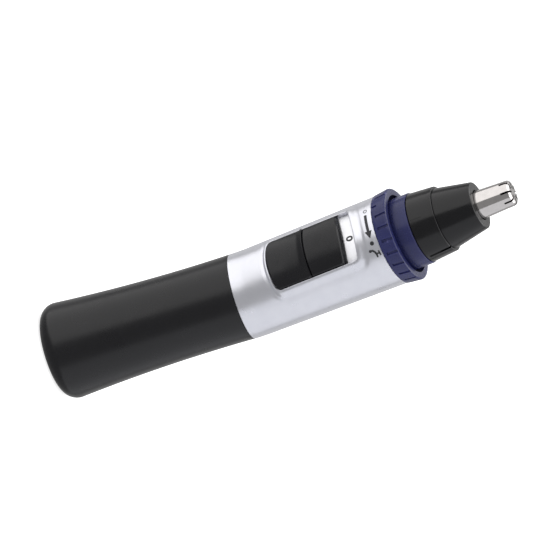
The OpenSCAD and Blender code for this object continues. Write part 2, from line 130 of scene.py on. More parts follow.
def eased(low, high, count):
    """count + 1 values from low to high, closest together at both ends."""
    return [low + (high - low) * (1 - math.cos(math.pi * i / count)) / 2 for i in range(count + 1)]


def rounded(corners, steps=4):
    """A profile whose corners (r, h, rounding) are replaced by arcs, where rounding isn't zero."""
    out = []
    for i, (r, h, rounding) in enumerate(corners):
        if not rounding:
            out.append((r, h))
            continue
        here = Vector((r, h))
        before = (Vector(corners[i - 1][:2]) - here).normalized()
        after = (Vector(corners[(i + 1) % len(corners)][:2]) - here).normalized()
        half = before.angle(after) / 2
        centre = here + (before + after).normalized() * (rounding / math.sin(half))
        start = (here + before * (rounding / math.tan(half)) - centre).normalized()
        end = (here + after * (rounding / math.tan(half)) - centre).normalized()
        for step in range(steps + 1):
            point = centre + start.slerp(end, step / steps) * rounding
            out.append((point.x, point.y))
    return out


def piece(name, bm, material, sharp=35):
    """A new object from a bmesh, smooth apart from edges sharper than the angle."""
    bmesh.ops.remove_doubles(bm, verts=bm.verts, dist=2e-7)
    bmesh.ops.recalc_face_normals(bm, faces=bm.faces)
    mesh = bpy.data.meshes.new(name)
    bm.to_mesh(mesh)
    bm.free()
    mesh.shade_smooth()
    mesh.set_sharp_from_angle(angle=math.radians(sharp))
    mesh.materials.append(material)
    obj = bpy.data.objects.new(name, mesh)
    bpy.context.scene.collection.objects.link(obj)
    return obj


def add_face(bm, corners):
    """A face, unless its corners fall together or it is already there."""
    unique = list(dict.fromkeys(corners))
    if len(unique) > 2 and not bm.faces.get(unique):
        bm.faces.new(unique)


def add_strip(bm, first, second, closed=True):
    """Quads between two rows of vertices of the same length."""
    count = len(first)
    for j in range(count if closed else count - 1):
        k = (j + 1) % count
        add_face(bm, [first[j], first[k], second[k], second[j]])


def lathe(profile, place, angles, relief=None, closed=True):
    """A turned solid. relief(r, h, angle) is how far a point of the profile is cut back there."""
    bm = bmesh.new()
    rows = []
    for r, h in profile:
        if r < ON_AXIS:
            pole = bm.verts.new(place(0, 0, h))
            rows.append([pole] * len(angles))
            continue
        cuts = [relief(r, h, angle) if relief else 0 for angle in angles]
        rows.append([bm.verts.new(place(r - cut, angle, h)) for cut, angle in zip(cuts, angles)])
    pairs = list(zip(rows, rows[1:]))
    if closed:
        pairs.append((rows[-1], rows[0]))
    for first, second in pairs:
        add_strip(bm, first, second)
    return bm


def with_heights(outline, heights):
    """The profile with extra points at the heights, on its outer side."""
    out = []
    for (r0, h0), (r1, h1) in zip(outline, outline[1:] + outline[:1]):
        out.append((r0, h0))
        if h1 > h0:
            out += [(r0 + (r1 - r0) * (h - h0) / (h1 - h0), h) for h in heights if h0 < h < h1]
    return out


def around(count):
    return [360 * i / count for i in range(count)]


# ---- materials ----

# Painted edge highlight on convex edges: the pointiness range that fades it in, and the size of its patches.
edge_start = 0.53
edge_end = 0.62
edge_highlight_patch = 1.5


def set_inputs(node, values):
    """Set the unlinked sockets of a shader node, by name."""
    for name, value in values.items():
        node.inputs[name].default_value = value


class Look:
    """A material on one Principled shader, with helpers that add its grain, its variation and painted edge
    highlights.
    """

    def __init__(self, name, **values):
        self.material = bpy.data.materials.new(name)
        self.material.use_nodes = True
        self.tree = self.material.node_tree
        self.shader = self.tree.nodes["Principled BSDF"]
        set_inputs(self.shader, values)
        self.place = self.add("ShaderNodeTexCoord").outputs["Object"]
        self.colour = None
        self.normal = None

    def add(self, kind, **values):
        node = self.tree.nodes.new(kind)
        set_inputs(node, values)
        return node

    def link(self, output, target):
        self.tree.links.new(output, target)

    def noise(self, size, detail=2.0, stretch=(1, 1, 1)):
        """Noise whose blotches are about size millimetres across, divided by stretch."""
        mapping = self.add("ShaderNodeMapping", Scale=stretch)
        self.link(self.place, mapping.inputs["Vector"])
        noise = self.add("ShaderNodeTexNoise", Scale=1 / (size * MM), Detail=detail)
        self.link(mapping.outputs["Vector"], noise.inputs["Vector"])
        return noise.outputs["Fac"]

    def map_range(self, value, low, high, start=0.3, end=0.7):
        node = self.add("ShaderNodeMapRange")
        node.clamp = True
        set_inputs(node, {"From Min": start, "From Max": end, "To Min": low, "To Max": high})
        self.link(value, node.inputs["Value"])
        return node.outputs["Result"]

    def vary_colour(self, base, other, size, **noise):
        """The base colour drifts towards another in soft blotches."""
        mix = self.add("ShaderNodeMix")
        mix.data_type = "RGBA"
        self.link(self.map_range(self.noise(size, **noise), 0, 1), mix.inputs["Factor"])
        mix.inputs["A"].default_value = (*base, 1)
        mix.inputs["B"].default_value = (*other, 1)
        self.colour = mix.outputs["Result"]
        self.link(self.colour, self.shader.inputs["Base Color"])

    def paint_edge_highlight(self, highlight_colour, amount=0.5):
        """Convex edges are a little lighter, in uneven patches: a painted edge highlight."""
        pointiness = self.add("ShaderNodeNewGeometry").outputs["Pointiness"]
        edge = self.map_range(pointiness, 0, amount, edge_start, edge_end)
        patch = self.map_range(self.noise(edge_highlight_patch), 0.3, 1)
        both = self.add("ShaderNodeMath")
        both.operation = "MULTIPLY"
        self.link(edge, both.inputs[0])
        self.link(patch, both.inputs[1])
        mix = self.add("ShaderNodeMix")
        mix.data_type = "RGBA"
        self.link(both.outputs["Value"], mix.inputs["Factor"])
        self.link(self.colour, mix.inputs["A"])
        mix.inputs["B"].default_value = (*highlight_colour, 1)
        self.link(mix.outputs["Result"], self.shader.inputs["Base Color"])

    def vary_roughness(self, low, high, size, **noise):
        self.link(self.map_range(self.noise(size, **noise), low, high), self.shader.inputs["Roughness"])

    def grain(self, size, depth, **noise):
        """Bump from noise: size and depth in millimetres."""
        bump = self.add("ShaderNodeBump", Strength=1, Distance=depth * MM)
        self.link(self.noise(size, **noise), bump.inputs["Height"])
        if self.normal:
            self.link(self.normal, bump.inputs["Normal"])
        self.normal = bump.outputs["Normal"]
        self.link(self.normal, self.shader.inputs["Normal"])


def plastic(name, colour, other, roughness, grain=0.25, depth=0.004, highlight_colour=None, **values):
    """Moulded plastic: fine spark-eroded grain, slightly uneven gloss and colour."""
    look = Look(name, **values)
    look.vary_colour(colour, other, 9)
    look.vary_roughness(roughness - 0.04, roughness + 0.05, 3, detail=4)
    look.grain(grain, depth)
    # Given a highlight colour, convex edges get a painted edge highlight.
    if highlight_colour:
        look.paint_edge_highlight(highlight_colour)
    return look.material


def metal(name, colour, other, roughness, stretch=(1, 1, 1), depth=0.0012, **values):
    """Bare metal with fine lines from its making."""
    look = Look(name, Metallic=1, **values)
    look.vary_colour(colour, other, 2.5)
    look.vary_roughness(roughness - 0.03, roughness + 0.05, 0.6, detail=4, stretch=stretch)
    look.grain(0.25, depth, stretch=stretch)
    return look.material


def silver_paint(name):
    """Metallic paint under a thin clear coat: a soft shine, faintly uneven."""
    look = Look(name, **{"Metallic": 0.9, "Coat Weight": 0.25, "Coat Roughness": 0.22})
    look.vary_colour((0.735, 0.742, 0.800), (0.765, 0.772, 0.825), 2.5, detail=3)
    look.vary_roughness(0.27, 0.33, 3, detail=3)
    look.grain(1.1, 0.0012, detail=2)
    return look.material


def soft_touch(name):
    """Soft-touch lacquer: matt charcoal with a faint bloom and very fine grain."""
    look = Look(name, **{"Sheen Weight": 0.01, "Sheen Roughness": 0.4, "Specular IOR Level": 0.42})
    look.vary_colour((0.0034, 0.0033, 0.0044), (0.0046, 0.0045, 0.0058), 14)
    look.vary_roughness(0.26, 0.32, 5, detail=4)
    look.grain(0.09, 0.0022)
    look.grain(2.5, 0.004, detail=1)
    # Convex edges get a painted edge highlight.
    look.paint_edge_highlight((0.05, 0.05, 0.055), 0.4)
    return look.material


def steel_tube(name):
    """Polished tube with faint lines that run along it and a little polishing haze."""
    look = Look(name, Metallic=1)
    look.vary_colour((0.62, 0.595, 0.585), (0.67, 0.645, 0.635), 1.2)
    look.vary_roughness(0.07, 0.12, 0.5, detail=4, stretch=(1, 1, 0.08))
    look.grain(0.12, 0.0006, stretch=(1, 1, 0.05))
    return look.material


# The highlight colours lighten convex edges as a painted edge highlight.
looks = {
    "grip_black": soft_touch("soft_touch_black"),
    "housing_silver": silver_paint("satin_silver_paint"),
    "inset_white": plastic("inset_white_plastic", (0.80, 0.80, 0.83), (0.85, 0.85, 0.87), 0.3, 0.4, 0.002),
    "button_black": plastic("button_black_plastic", (0.0036, 0.0036, 0.0048), (0.0052, 0.0052, 0.0066), 0.27,
                            0.12, 0.0012, highlight_colour=(0.04, 0.04, 0.045), **{"Specular IOR Level": 0.36}),
    "ring_blue": plastic("ring_blue_plastic", (0.0120, 0.0140, 0.062), (0.0145, 0.0170, 0.074), 0.27,
                         0.15, 0.001, highlight_colour=(0.09, 0.09, 0.22), **{"Specular IOR Level": 0.36}),
    "head_black": plastic("head_black_plastic", (0.0018, 0.0018, 0.0025), (0.0028, 0.0028, 0.0036), 0.20,
                          0.12, 0.0007, highlight_colour=(0.05, 0.05, 0.055), **{"Specular IOR Level": 0.42}),
    "blade_steel": steel_tube("polished_blade_steel"),
    "spring_steel": metal("spring_steel_wire", (0.62, 0.61, 0.60), (0.70, 0.69, 0.67), 0.25),
    "motor_steel": metal("zinc_plated_steel", (0.55, 0.56, 0.56), (0.64, 0.64, 0.62), 0.33),
    "magnet_ferrite": plastic("ferrite", (0.030, 0.030, 0.032), (0.045, 0.044, 0.045), 0.65, 0.3, 0.01),
    "winding_copper": metal("enamelled_copper", (0.55, 0.21, 0.09), (0.66, 0.29, 0.14), 0.28),
    "contact_brass": metal("brass_strip", (0.68, 0.50, 0.22), (0.76, 0.60, 0.30), 0.28),
    "seal_rubber": plastic("seal_rubber", (0.012, 0.012, 0.012), (0.020, 0.020, 0.020), 0.6, 0.1, 0.003),
    "inner_plastic": plastic("inner_grey_plastic", (0.040, 0.041, 0.045), (0.055, 0.056, 0.060), 0.42,
                             0.3, 0.004, highlight_colour=(0.11, 0.11, 0.12)),
    "inner_white": plastic("acetal_white", (0.66, 0.65, 0.62), (0.72, 0.71, 0.68), 0.34, 0.3, 0.003),
    "cell_jacket": plastic("cell_jacket_film", (0.02, 0.11, 0.05), (0.03, 0.15, 0.07), 0.25, 0.5, 0.001),
    "cell_can": metal("nickel_plated_can", (0.68, 0.67, 0.64), (0.75, 0.74, 0.70), 0.22),
}
# Near-black steel: painted shade in the tube's bore and slit walls, and on the inner blade behind them.
bore_shade_steel = metal("dark_bore_painted_shade", (0.012, 0.012, 0.012), (0.03, 0.03, 0.03), 0.45)
ink = plastic("mark_ink", (0.010, 0.010, 0.013), (0.016, 0.016, 0.020), 0.4, 0.1, 0.001)
grey_ink = plastic("light_mark_ink", (0.11, 0.11, 0.12), (0.15, 0.15, 0.16), 0.4, 0.1, 0.001)


def stands_for(obj, body, slot, *replaced):
    """Parent a piece to the empty of the body it rides on, and hide the CAD nodes it replaces. The slot is
    not used.
    """
    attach(obj, body)
    if replaced:
        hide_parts(*replaced)


# ---- battery cover ----

cover_length = (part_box("battery_cover")[1] / MM).z
base_round = 4.0
waist_r = 10.8
waist_z = 41.0
waist_arc = 468.0
cover_floor = 2.0
cover_bore_r = 9.2
cover_mouth_r = 9.65
cover_mouth_z = cover_length - 8.5
cover_mouth_edge = 0.08
cover_lip = 0.12
cover_lip_turn = cover_lip * 0.3
cover_base_rows = 16
cover_side_rows = 40
cover_bore_rows = 8
cover_columns = 192


def cover_side(z):
    """Radius of the cover's waisted side."""
    return waist_r + (z - waist_z) ** 2 / (2 * waist_arc)


def make_battery_cover():
    base_r = cover_side(base_round)
    top_r = cover_side(cover_length)
    outline = [(0, 0)]
    for angle in spread(0, 90, cover_base_rows):
        a = math.radians(angle)
        outline.append((base_r - base_round * (1 - math.sin(a)), base_round * (1 - math.cos(a))))
    outline += [(cover_side(z), z) for z in spread(base_round, cover_length - cover_lip, cover_side_rows)[1:]]
    outline += [(top_r - cover_lip_turn, cover_length - cover_lip_turn), (top_r - cover_lip, cover_length)]
    outline += [(cover_mouth_r + cover_mouth_edge, cover_length)]
    outline += [(cover_mouth_r, cover_length - cover_mouth_edge)]
    outline += [(cover_mouth_r, cover_mouth_z), (cover_bore_r, cover_mouth_z)]
    outline += [(cover_bore_r, z) for z in spread(cover_mouth_z, cover_floor, cover_bore_rows)[1:]]
    outline += [(0, cover_floor)]
    bm = lathe(outline, on_grip, around(cover_columns), closed=False)
    shell = piece("cover_shell", bm, looks["grip_black"])
    stands_for(shell, "battery_cover", "grip_black", "battery_cover")


# ---- housing with its switch window ----

housing_front_h = 38.6
housing_rear_r = 10.92
housing_front_r = 11.35
housing_edge = 0.12
housing_bore_r = 9.4
bore_low_h = 3.5
bore_high_h = 37.9
bend_bore_r = 9.2
bend_bore_s = bend_start + 3
shoulder_s = bend_start + 1.5
spigot_r = 9.6
spigot_bore_r = 8.5
spigot_start = bend_start - 8.0
spigot_edge = 0.3
seal_z = bend_start - 3.6
seal_groove_r = 9.0
seal_half = 0.4

window_half_w = 6.7
window_rear_h = 9.4
window_front_h = 33.1
rear_arch = 37.0
front_arch = 23.0
rear_corner = 1.3
front_corner = 0.85
pocket_r = 10.2
pocket_margin = 0.85
corner_steps = 8
side_steps = 40
end_steps = 14

# Four sizes of the rim and of the valley outside it: each at the window's sides, front end and rear end.
rim_flat = (0.55, 0.45, 0.35)
rim_foot = (1.75, 1.9, 0.95)
valley_depth = (0.08, 0.18, 0.14)
valley_width = (1.2, 1.5, 0.9)
rim_rise = 0.35
rim_edge = 0.22
rim_rows = [0, 0.02, 0.06, 0.12, 0.2] + spread(0.3, 2.7, 24)

# The patch of the housing whose mesh follows the window's outline, and the rows and columns outside it.
patch_side = 68.0
patch_low = 5.0
patch_high = 37.6
outer_blend_rows = 8
inner_blend_rows = 3
bend_rows = 14
plain_rows = 4
back_columns = 56


def housing_r(h):
    share = (h - bend_h) / (housing_front_h - bend_h)
    return housing_rear_r + (housing_front_r - housing_rear_r) * max(share, 0)


def end_corner(margin, rounding, arch, centre_h, forward):
    """Centre of an end's corner rounding, its radius, and the angle where it meets the arch."""
    x = window_half_w - rounding
    rise = math.sqrt((arch - rounding) ** 2 - x * x)
    h = centre_h + forward * rise
    return Vector((x, h)), rounding + margin, math.atan2(rise, x)


def half_outline(margin):
    """Window outline's +X half, grown by a margin: (x, h, normal) from the rear's middle to the front's."""
    rear_c = window_rear_h + rear_arch
    front_c = window_front_h - front_arch
    rear, rear_r, rear_meet = end_corner(margin, rear_corner, rear_arch, rear_c, -1)
    front, front_r, front_meet = end_corner(margin, front_corner, front_arch, front_c, 1)

    def arc(centre, r, angle):
        normal = Vector((math.cos(angle), math.sin(angle)))
        return (*(centre + normal * r), normal)

    down = -math.pi / 2
    out = [arc(Vector((0, rear_c)), rear_arch + margin, a) for a in spread(down, -rear_meet, end_steps)]
    out += [arc(rear, rear_r, a) for a in spread(-rear_meet, 0, corner_steps)[1:]]
    out += [(window_half_w + margin, h, Vector((1, 0))) for h in spread(rear.y, front.y, side_steps)[1:-1]]
    out += [arc(front, front_r, a) for a in spread(0, front_meet, corner_steps)]
    out += [arc(Vector((0, front_c)), front_arch + margin, a)
            for a in spread(front_meet, -down, end_steps)[1:]]
    return out


def window_row(margin, radius):
    """(angle, h, r) along the whole outline grown by a margin, where r is radius(h, normal).

    It runs from the rear's middle by +X to the front's middle and back by -X.
    """
    right = half_outline(margin)
    left = [(-x, h, Vector((-normal.x, normal.y))) for x, h, normal in reversed(right[1:-1])]
    out = []
    for x, h, normal in right + left:
        r = radius(h, normal)
        out.append((math.degrees(math.asin(x / r)), h, r))
    return out


def blend_rows(first, second, count):
    """The rows between two rows of (angle, h, r), evenly spaced."""
    return [[tuple(p + (q - p) * t for p, q in zip(a, b)) for a, b in zip(first, second)]
            for t in spread(0, 1, count)[1:-1]]


def rim_height(d, normal):
    """Height of the rim and its valley over the housing, d outwards from the window's edge."""
    shares = (normal.x ** 2, max(normal.y, 0) ** 2, max(-normal.y, 0) ** 2)
    start = sum(share * flat for share, flat in zip(shares, rim_flat))
    end = sum(share * foot for share, foot in zip(shares, rim_foot))
    fall = smooth_step(start, end, d)
    rise = rim_rise * (1 - fall)
    for share, depth, width in zip(shares, valley_depth, valley_width):
        rise -= share * depth * fall * (1 - smooth_step(end, end + width, d))
    if d < rim_edge:
        rise -= rim_edge - math.sqrt(rim_edge ** 2 - (rim_edge - d) ** 2)
    return rise


def stretched(values, low, high):
    """The values moved and scaled to run from low to high."""
    return [low + (v - values[0]) / (values[-1] - values[0]) * (high - low) for v in values]


def housing_profile(patch_h):
    """(r, s) rows of the housing's outside, its front lip and its inside."""
    heights = spread(bend_h, patch_low, plain_rows)[:-1] + patch_h
    heights += spread(patch_high, housing_front_h - housing_edge, plain_rows)[1:]
    outer = [(housing_rear_r, s) for s in spread(bend_start + housing_edge, s_of_h(bend_h), bend_rows)[:-1]]
    outer += [(housing_r(h), s_of_h(h)) for h in heights]
    front_s = s_of_h(housing_front_h)
    lip = [(housing_front_r - housing_edge, front_s), (housing_bore_r, front_s)]
    bore_h = [bore_high_h] + list(reversed(patch_h)) + [bore_low_h]
    inner = [(housing_bore_r, s_of_h(h)) for h in bore_h]
    inner += [(bend_bore_r, s_of_h(bend_h)), (bend_bore_r, bend_bore_s), (bend_bore_r, shoulder_s)]
    inner += [(spigot_bore_r, shoulder_s), (spigot_bore_r, spigot_start)]
    inner += [(spigot_r - spigot_edge, spigot_start), (spigot_r, spigot_start + spigot_edge)]
    inner += [(spigot_r, seal_z - seal_half), (seal_groove_r, seal_z - seal_half)]
    inner += [(seal_groove_r, seal_z + seal_half), (spigot_r, seal_z + seal_half)]
    inner += [(spigot_r, bend_start), (housing_rear_r - housing_edge, bend_start)]
    return outer, lip, inner


def make_housing():
    right = half_outline(0)
    low_corner = end_steps + corner_steps // 2
    high_corner = low_corner + corner_steps + side_steps
    patch_h = stretched([right[i][1] for i in range(low_corner, high_corner + 1)], patch_low, patch_high)
    patch_angles = stretched([right[i][0] for i in range(low_corner + 1)], 0, patch_side)
    frame_loop = [(a, patch_low) for a in patch_angles[:-1]]
    frame_loop += [(patch_side, h) for h in patch_h[:-1]]
    frame_loop += [(a, patch_high) for a in reversed(patch_angles)]
    frame_loop += [(-a, h) for a, h in reversed(frame_loop[1:-1])]
    columns = sorted({-a for a in patch_angles} | set(patch_angles))
    columns += spread(patch_side, 360 - patch_side, back_columns)[1:-1]

    outer, lip, inner = housing_profile(patch_h)
    starts = (bend_rows + plain_rows, len(outer) + len(lip) + 1)
    patch_rows = {start + i for start in starts for i in range(len(patch_h) - 1)}
    patch_columns = len(patch_angles) * 2 - 2
    bm = bmesh.new()
    grid = [[bm.verts.new(on_line(r, angle, s)) for angle in columns] for r, s in outer + lip + inner]
    for i, row in enumerate(grid):
        following = grid[(i + 1) % len(grid)]
        for j in range(len(columns)):
            if i in patch_rows and j < patch_columns:
                continue
            k = (j + 1) % len(columns)
            add_face(bm, [row[j], row[k], following[k], following[j]])

    outside = [(a, h, housing_r(h)) for a, h in frame_loop]
    inside = [(a, h, housing_bore_r) for a, h in frame_loop]
    rim = [window_row(d, lambda h, n, d=d: housing_r(h) + rim_height(d, n)) for d in reversed(rim_rows)]
    deepest = window_row(pocket_margin, lambda h, n: housing_bore_r)
    loops = [outside] + list(reversed(blend_rows(rim[0], outside, outer_blend_rows))) + rim
    loops += [window_row(margin, lambda h, n: pocket_r) for margin in (0, pocket_margin)]
    loops += [deepest] + blend_rows(deepest, inside, inner_blend_rows) + [inside]
    made = [[bm.verts.new(on_head(r, a, h)) for a, h, r in loop] for loop in loops]
    for first, second in zip(made, made[1:]):
        add_strip(bm, first, second)
    shell = piece("housing_shell", bm, looks["housing_silver"])
    stands_for(shell, "housing", "housing_silver", "main_housing")


# ---- switch button ----

button_gap = 0.15
button_base_r = 10.3
button_r = head_span("switch_button")[2]
button_front_h = 30.0
button_edge = 0.2
ridge_h = 19.7
ridge_rise = 0.36
ridge_length = 1.7
groove_w = 0.4
groove_depth = 0.45
hollow_depth = 0.16
front_drop = 0.3
front_regain = 0.5
facet_length = 0.75
facet_taper = 0.25
facet_foot = 0.45
facet_curve = 1.25
button_columns = 48
rear_rows = 24
groove_rows = 6
front_rows = 16
facet_rows = 5
stem_half_w = 1.7
stem_low_r = 7.2
stem_low_h = 17.5
stem_high_h = 21.5
stem_sunk = 0.3


def outline_ends(x):
    """(rear h, front h) of the button's outline at x."""
    w = window_half_w - button_gap
    rear_c = window_rear_h + rear_arch
    front_c = button_front_h - front_arch
    ends = []
    for rounding, arch, centre, forward in (
            (rear_corner, rear_arch - button_gap, rear_c, -1), (front_corner, front_arch, front_c, 1)):
        corner_x = w - rounding
        corner_h = centre + forward * math.sqrt((arch - rounding) ** 2 - corner_x ** 2)
        meet_x = corner_x * arch / (arch - rounding)
        if abs(x) <= meet_x:
            ends.append(centre + forward * math.sqrt(arch ** 2 - x * x))
        else:
            ends.append(corner_h + forward * math.sqrt(max(rounding ** 2 - (abs(x) - corner_x) ** 2, 0)))
    return ends


def crown(h, rear, brow):
    """Radius of the button's top: a hollow that rises to a ridge, a narrow groove, a lower front part."""
    past = h - ridge_h
    if past <= 0:
        share = (h - rear) / (ridge_h - rear)
        rise = ridge_rise * smooth_step(-ridge_length, 0, past)
        return button_r - ridge_rise - hollow_depth * math.sin(math.pi * share) + rise
    front_level = button_r - front_drop * (1 - front_regain * smooth_step(0, brow - ridge_h, past))
    if past >= groove_w:
        return front_level
    return front_level - groove_depth * (1 - abs(2 * past / groove_w - 1) ** 3)


def add_stem(bm):
    """The square stem that joins the button to the switch carrier inside the housing."""
    stem_high_r = button_base_r + stem_sunk
    depth = stem_high_r - stem_low_r
    size = (side * 2 * stem_half_w, head_front * depth, head_up * (stem_high_h - stem_low_h))
    middle = head_origin + head_front * (stem_low_r + stem_high_r) / 2
    middle = middle + head_up * (stem_low_h + stem_high_h) / 2
    shape = Matrix(size).transposed().to_4x4()
    bmesh.ops.create_cube(bm, size=1, matrix=Matrix.Translation(middle * MM) @ Matrix.Scale(MM, 4) @ shape)


def button_column(x, w):
    """(x, h, r) along the button's top, from its rear end to its front end."""
    rear, front = outline_ends(x)
    facet = facet_length * (1 - facet_taper * (x / w) ** 2)
    brow = front - facet
    groove_end = ridge_h + groove_w
    heights = eased(rear, ridge_h, rear_rows) + spread(ridge_h, groove_end, groove_rows)[1:]
    heights += spread(groove_end, brow, front_rows)[1:] + spread(brow, front, facet_rows)[1:]
    column = []
    for h in heights:
        r = crown(h, rear, brow)
        if h > brow:
            r -= (button_r - button_base_r - facet_foot) * ((h - brow) / facet) ** facet_curve
        near = min(w - abs(x), h - rear)
        if near < button_edge:
            r -= button_edge - math.sqrt(button_edge ** 2 - (button_edge - max(near, 0)) ** 2)
        column.append((x, h, r))
    return column


def make_button():
    w = window_half_w - button_gap
    columns = [button_column(w * math.sin(math.pi / 2 * p), w) for p in spread(-1, 1, button_columns)]
    bm = bmesh.new()

    def vertex(x, h, r):
        return bm.verts.new(on_head(r, math.degrees(math.asin(x / r)), h))

    top = [[vertex(x, h, r) for x, h, r in column] for column in columns]
    base = [[vertex(x, h, button_base_r) for x, h, _ in column] for column in columns]
    for sheet in (top, base):
        for first, second in zip(sheet, sheet[1:]):
            add_strip(bm, first, second, closed=False)
    for first, second in ((top[0], base[0]), (top[-1], base[-1]),
                          ([c[0] for c in top], [c[0] for c in base]),
                          ([c[-1] for c in top], [c[-1] for c in base])):
        add_strip(bm, first, second, closed=False)
    add_stem(bm)
    button = piece("slide_button", bm, looks["button_black"], sharp=40)
    stands_for(button, "switch", "button_black", "switch_button")


# ---- cleaning ring ----

ring_low, ring_high, flange_r = head_span("cleaning_ring")
ring_places = 22
place_angle = 360 / ring_places
index_angle = -23.0
neck_bore_r = 8.08
flange_rear_r = 11.45
flange_front_h = 42.6
flange_rear_edge = 0.1
flange_front_edge = 0.45
flange_wall = 0.6
ring_groove_r = 10.0
ring_groove_h = 40.4
ring_groove_edge = 0.12
collar_r = 9.1
collar_edge = 0.18
collar_line_h = 42.95
collar_line_half = 0.07
collar_line_depth = 0.1
counterbore_h = 44.8
counterbore_r = 8.5
knurl_w = 0.76
knurl_slope = 0.12
knurl_depth = 0.34
knurl_low = 39.6
knurl_low_slope = 0.15
knurl_high = 42.35
tick_high = 40.1
tick_slope = 0.12
flange_rows = spread(40.6, 42.1, 5)
row_slack = 0.01


def knurl_depth_at(r, h, angle):
    """How deep the axial grooves are cut in the flange. One place has a short tick from the rear instead."""
    if r < ring_groove_r + flange_wall or h > knurl_high:
        return 0
    turn = (angle - index_angle + place_angle / 2) % place_angle - place_angle / 2
    at_index = abs((angle - index_angle + 180) % 360 - 180) < place_angle / 2
    if at_index and h > tick_high + row_slack:
        return 0
    if not at_index and h < knurl_low - row_slack:
        return 0
    off_middle = abs(math.radians(turn)) * r
    return knurl_depth * (1 - smooth_step(knurl_w / 2 - knurl_slope, knurl_w / 2, off_middle))


def make_ring():
    corners = [
        (neck_bore_r, ring_low, 0), (flange_rear_r, ring_low, flange_rear_edge),
        (flange_r, flange_front_h, flange_front_edge), (ring_groove_r, flange_front_h, ring_groove_edge),
        (ring_groove_r, ring_groove_h, 0), (collar_r, ring_groove_h, 0),
        (collar_r, collar_line_h - collar_line_half, 0), (collar_r - collar_line_depth, collar_line_h, 0),
        (collar_r, collar_line_h + collar_line_half, 0), (collar_r, ring_high, collar_edge),
        (counterbore_r, ring_high, 0), (counterbore_r, counterbore_h, 0), (neck_bore_r, counterbore_h, 0)]
    rows = [knurl_low - knurl_low_slope, knurl_low, tick_high, tick_high + tick_slope] + flange_rows
    outline = with_heights(rounded(corners), rows)
    edge = math.degrees(knurl_w / 2 / flange_r)
    slope_angle = math.degrees(knurl_slope / flange_r)
    offsets = [-edge, -edge + slope_angle / 2, -edge + slope_angle, 0]
    offsets += [edge - slope_angle, edge - slope_angle / 2, edge]
    offsets += spread(edge, place_angle - edge, 5)[1:-1]
    angles = [index_angle + i * place_angle + a for i in range(ring_places) for a in offsets]
    bm = lathe(outline, on_head, angles, knurl_depth_at)
    ring = piece("washing_ring", bm, looks["ring_blue"], sharp=30)
    stands_for(ring, "cleaning_ring", "ring_blue", "cleaning_ring")


# ---- blade block ----

base_low, step_h, base_rear_r = head_span("head_base")
base_cone_h = 46.75
base_front_r = 8.33
base_spigot_r = 6.95
base_bore_r = 6.2
base_web_low = 48.4
base_web_high = 50.2
base_spigot_edge = 0.1
base_rear_edge = 0.15
base_front_edge = 0.16
base_rows = [48.6, 50.6, 51.4, 52.2]
shaft_hole_r = 2.5
catch_angle = 84.0
catch_low = 47.6
catch_low_slope = 0.06
catch_half_w = 0.35
catch_depth = 0.55
closed_line_angle = 11.0
closed_line_low = 47.2
closed_line_high = 49.9
closed_line_end_slope = 0.05
closed_line_half_w = 0.09
closed_line_depth = 0.1
cut_slope = 0.05
line_slope = 0.03
cut_clearance = 1.2
relief_clearance = 0.5
cone_columns = 160

cone_low, cone_high, _ = head_span("nose_cone")
cone_spigot_r = 6.95
cone_rear_h = step_h + 0.02
cone_rear_r = 7.8
cone_rear_edge = 0.06
cone_front_r = 5.97
cone_front_edge = 0.32
cone_bore_r = 5.6
cone_bore_h = 55
cone_web_h = 57.9
cone_neck_r = 5.05
tube_hole_r = 3.86
tube_hole_edge = 0.08


def base_relief(r, h, angle):
    """The catch groove, and the fine line that marks the closed place."""
    if r < base_spigot_r + relief_clearance:
        return 0
    from_catch = abs(math.radians(angle - catch_angle)) * r
    if from_catch < catch_half_w + row_slack and h > catch_low - row_slack:
        return catch_depth
    from_line = abs(math.radians(angle - closed_line_angle)) * r
    beside = closed_line_low - row_slack < h < closed_line_high + row_slack
    if from_line < closed_line_half_w + row_slack and beside:
        return closed_line_depth
    return 0


def near_angles(angle, half_w, r, slope):
    """Angles that bound a cut of a half width at radius r, with its two short walls."""
    inner = math.degrees(half_w / r)
    outer = math.degrees((half_w + slope) / r)
    return [angle - outer, angle - inner, angle, angle + inner, angle + outer]


def make_head_base():
    corners = [
        (base_bore_r, base_low, 0), (base_spigot_r, base_low, base_spigot_edge),
        (base_spigot_r, base_cone_h, 0), (base_rear_r, base_cone_h, base_rear_edge),
        (base_front_r, step_h, base_front_edge), (cone_spigot_r, step_h, 0),
        (cone_spigot_r, base_web_high, 0), (shaft_hole_r, base_web_high, 0),
        (shaft_hole_r, base_web_low, 0), (base_bore_r, base_web_low, 0)]
    rows = [closed_line_low - closed_line_end_slope, closed_line_low, catch_low - catch_low_slope, catch_low]
    rows += [closed_line_high, closed_line_high + closed_line_end_slope]
    outline = with_heights(rounded(corners), sorted(rows + base_rows))
    cuts = near_angles(catch_angle, catch_half_w, base_front_r, cut_slope)
    cuts += near_angles(closed_line_angle, closed_line_half_w, base_front_r, line_slope)
    angles = [a for a in around(cone_columns) if min(abs(a - cut) for cut in cuts) > cut_clearance]
    bm = lathe(outline, on_head, sorted(angles + cuts), base_relief)
    base = piece("blade_block_base", bm, looks["head_black"], sharp=32)
    stands_for(base, "blade_block", "head_black", "head_base")


def make_nose_cone():
    corners = [
        (cone_bore_r, cone_low, 0), (cone_spigot_r, cone_low, 0), (cone_spigot_r, cone_rear_h, 0),
        (cone_rear_r, cone_rear_h, cone_rear_edge), (cone_front_r, cone_high, cone_front_edge),
        (tube_hole_r, cone_high, tube_hole_edge), (tube_hole_r, cone_web_h, 0),
        (cone_neck_r, cone_web_h, 0), (cone_neck_r, cone_bore_h, 0), (cone_bore_r, cone_bore_h, 0)]
    bm = lathe(rounded(corners, 6), on_head, around(cone_columns))
    cone = piece("blade_block_cone", bm, looks["head_black"], sharp=32)
    stands_for(cone, "blade_block", "head_black", "nose_cone")


# ---- steel tube with its hair slits ----

